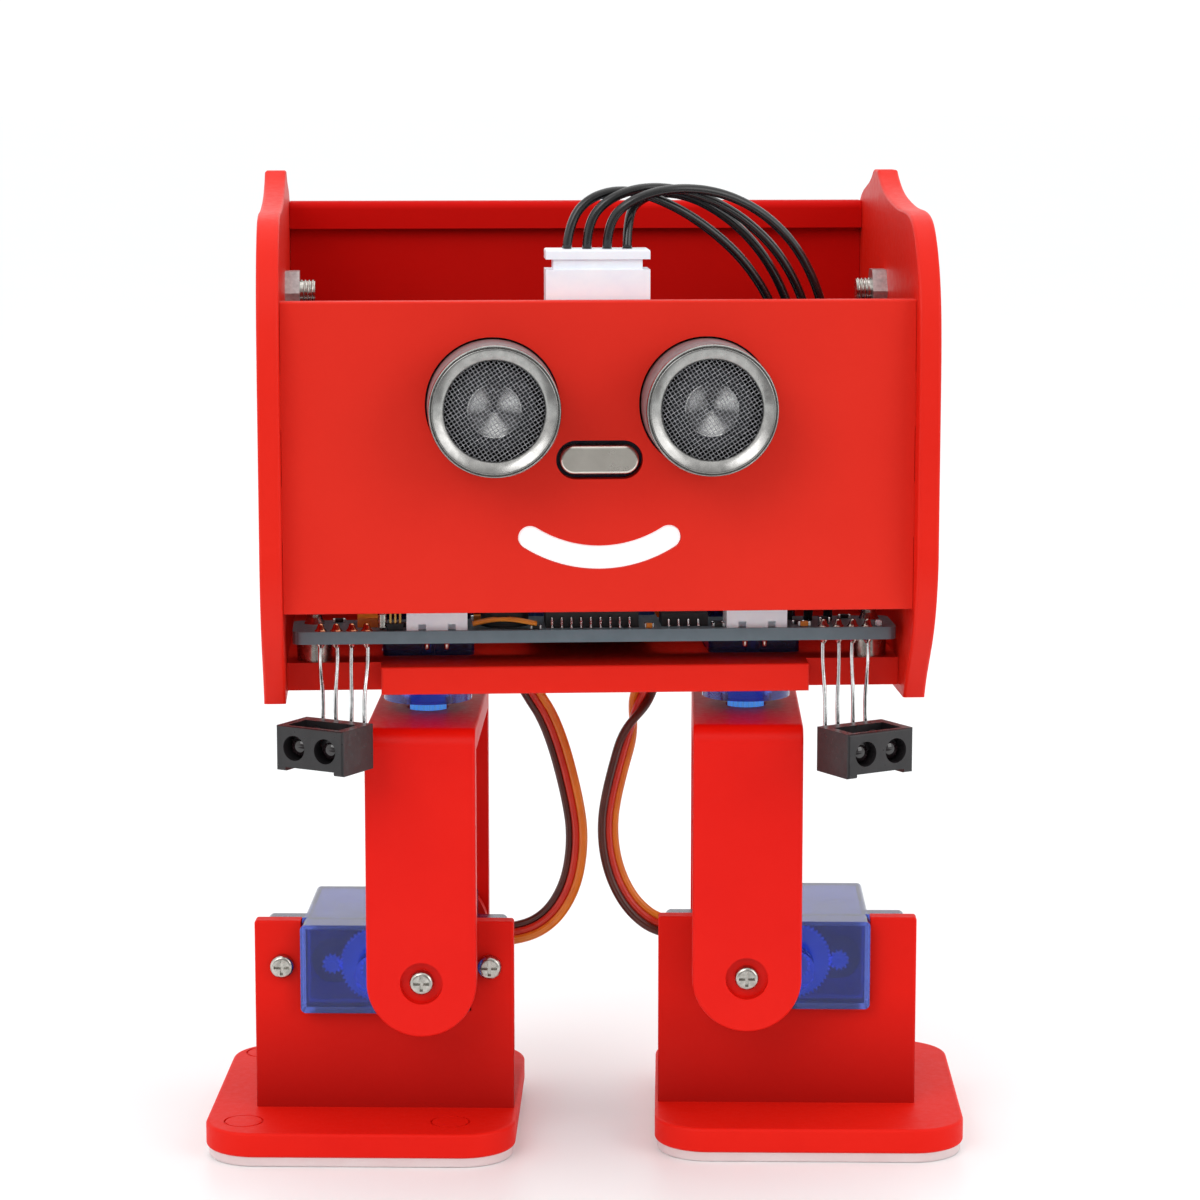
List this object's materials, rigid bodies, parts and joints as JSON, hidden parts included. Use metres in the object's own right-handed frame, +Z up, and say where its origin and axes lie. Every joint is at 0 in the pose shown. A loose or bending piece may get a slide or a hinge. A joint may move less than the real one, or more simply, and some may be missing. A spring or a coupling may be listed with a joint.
{
  "type": "humanoid robot kit",
  "caption": "Small two-legged walking robot kit: red box body with round sensor eyes and a smile, hip servos, U-shaped legs and servo-driven rounded feet.",
  "frame": {"origin": "centre of the footprint, on the floor under the feet", "axes": "+Z up, -Y the robot's front, +X towards the right side as seen from the front"},
  "size_m": [0.103, 0.069, 0.129],
  "materials": {
    "red_shell": "moulded red plastic, fine grain, satin gloss",
    "red_leg": "moulded red plastic, satin gloss",
    "red_foot": "moulded red plastic, satin gloss, fine grain",
    "clear_pad": "translucent soft pad",
    "white_plastic": "white moulded nylon",
    "servo_blue": "translucent blue moulded plastic",
    "gear_plastic": "pale nylon gear",
    "motor_steel": "plated steel can",
    "screw_steel": "nickel-plated steel",
    "lead_wire": "tinned wire",
    "board_blue": "glass-fibre circuit board with dark solder mask",
    "can_alu": "satin aluminium",
    "black_plastic": "black moulded plastic",
    "black_wire": "black wire insulation",
    "servo_wire": "flat three-wire lead: brown, red, orange"
  },
  "bodies": {
    "torso": {"side_panel_left": "red_shell", "side_panel_right": "red_shell", "front_panel": "red_shell", "back_panel": "red_shell", "bottom_plate": "red_shell", "smile_insert": "white_plastic", "sensor_board": "board_blue", "transducer_cans": "can_alu", "transducer_meshes": "can_alu", "transducer_cones": "can_alu", "crystal_can": "can_alu", "sensor_plug": "white_plastic", "sensor_wire_1": "black_wire", "sensor_wire_2": "black_wire", "sensor_wire_3": "black_wire", "sensor_wire_4": "black_wire", "main_board": "board_blue", "board_standoffs": "white_plastic", "board_sockets": "white_plastic", "board_chips": "black_plastic", "controller_board": "board_blue", "ir_sensor_left": "black_plastic", "ir_sensor_right": "black_plastic", "ir_leads": "lead_wire", "hip_servo_case_left": "servo_blue", "hip_servo_case_right": "servo_blue", "hip_motors": "motor_steel", "hip_flange_screws": "screw_steel", "panel_screws": "screw_steel", "panel_nuts": "screw_steel", "battery_holder": "black_plastic", "battery_cells": "motor_steel", "switch_body": "black_plastic", "servo_lead_upper_left": "servo_wire", "servo_lead_upper_right": "servo_wire"},
    "power_switch": {"switch_slider": "black_plastic"},
    "leg_left": {"leg_left": "red_leg", "hip_output_gear_left": "gear_plastic", "ankle_output_gear_left": "gear_plastic", "horn_screws_left": "screw_steel"},
    "foot_left": {"foot_left": "red_foot", "foot_pad_left": "clear_pad", "ankle_servo_case_left": "servo_blue", "ankle_motor_left": "motor_steel", "flange_screws_left": "screw_steel", "servo_lead_lower_left": "servo_wire"},
    "idler_left": {"ankle_idler_gear_left": "gear_plastic"},
    "pinion_left": {"ankle_motor_pinion_left": "gear_plastic"},
    "leg_right": {"leg_right": "red_leg", "hip_output_gear_right": "gear_plastic", "ankle_output_gear_right": "gear_plastic", "horn_screws_right": "screw_steel"},
    "foot_right": {"foot_right": "red_foot", "foot_pad_right": "clear_pad", "ankle_servo_case_right": "servo_blue", "ankle_motor_right": "motor_steel", "flange_screws_right": "screw_steel", "servo_lead_lower_right": "servo_wire"},
    "idler_right": {"ankle_idler_gear_right": "gear_plastic"},
    "pinion_right": {"ankle_motor_pinion_right": "gear_plastic"}
  },
  "joints": [
    {"name": "hip_left", "type": "hinge", "parent": "torso", "child": "leg_left", "pos_m": [-0.02152, 0.003, 0.06], "axis": [0, 0, 1], "range_deg": [-20.5, 29.5], "deforming": ["servo_lead_upper_left"]},
    {"name": "ankle_left", "type": "hinge", "parent": "leg_left", "child": "foot_left", "pos_m": [-0.02262, -0.01096, 0.0241], "axis": [0.0785, 0.9969, 0], "range_deg": [-20, 20], "deforming": ["servo_lead_lower_left"]},
    {"name": "idler_spin_left", "type": "hinge", "parent": "foot_left", "child": "idler_left", "pos_m": [-0.02853, -0.00447, 0.0241], "axis": [0.0785, 0.9969, 0], "range_deg": [-41.45, 41.45]},
    {"name": "pinion_spin_left", "type": "hinge", "parent": "foot_left", "child": "pinion_left", "pos_m": [-0.03464, -0.00299, 0.0241], "axis": [0.0785, 0.9969, 0], "range_deg": [-171.63, 171.63]},
    {"name": "hip_right", "type": "hinge", "parent": "torso", "child": "leg_right", "pos_m": [0.02127, 0.003, 0.06], "axis": [0, 0, 1], "range_deg": [-20.5, 29.5], "deforming": ["servo_lead_upper_right"]},
    {"name": "ankle_right", "type": "hinge", "parent": "leg_right", "child": "foot_right", "pos_m": [0.02018, -0.01096, 0.0241], "axis": [0.0785, 0.9969, 0], "range_deg": [-20, 20], "deforming": ["servo_lead_lower_right"]},
    {"name": "idler_spin_right", "type": "hinge", "parent": "foot_right", "child": "idler_right", "pos_m": [0.02703, -0.00548, 0.0241], "axis": [0.0785, 0.9969, 0], "range_deg": [-41.45, 41.45]},
    {"name": "pinion_spin_right", "type": "hinge", "parent": "foot_right", "child": "pinion_right", "pos_m": [0.03329, -0.00497, 0.0241], "axis": [0.0785, 0.9969, 0], "range_deg": [-171.63, 171.63]},
    {"name": "power_switch_slide", "type": "slide", "parent": "torso", "child": "power_switch", "axis": [1, 0, 0], "range_m": [0, 0.003]}
  ],
  "couplings": [
    {"joint": "idler_spin_left", "follows": "ankle_left", "ratio": 2.0476},
    {"joint": "pinion_spin_left", "follows": "ankle_left", "ratio": -8.5317},
    {"joint": "idler_spin_right", "follows": "ankle_right", "ratio": 2.0476},
    {"joint": "pinion_spin_right", "follows": "ankle_right", "ratio": -8.5317}
  ]
}
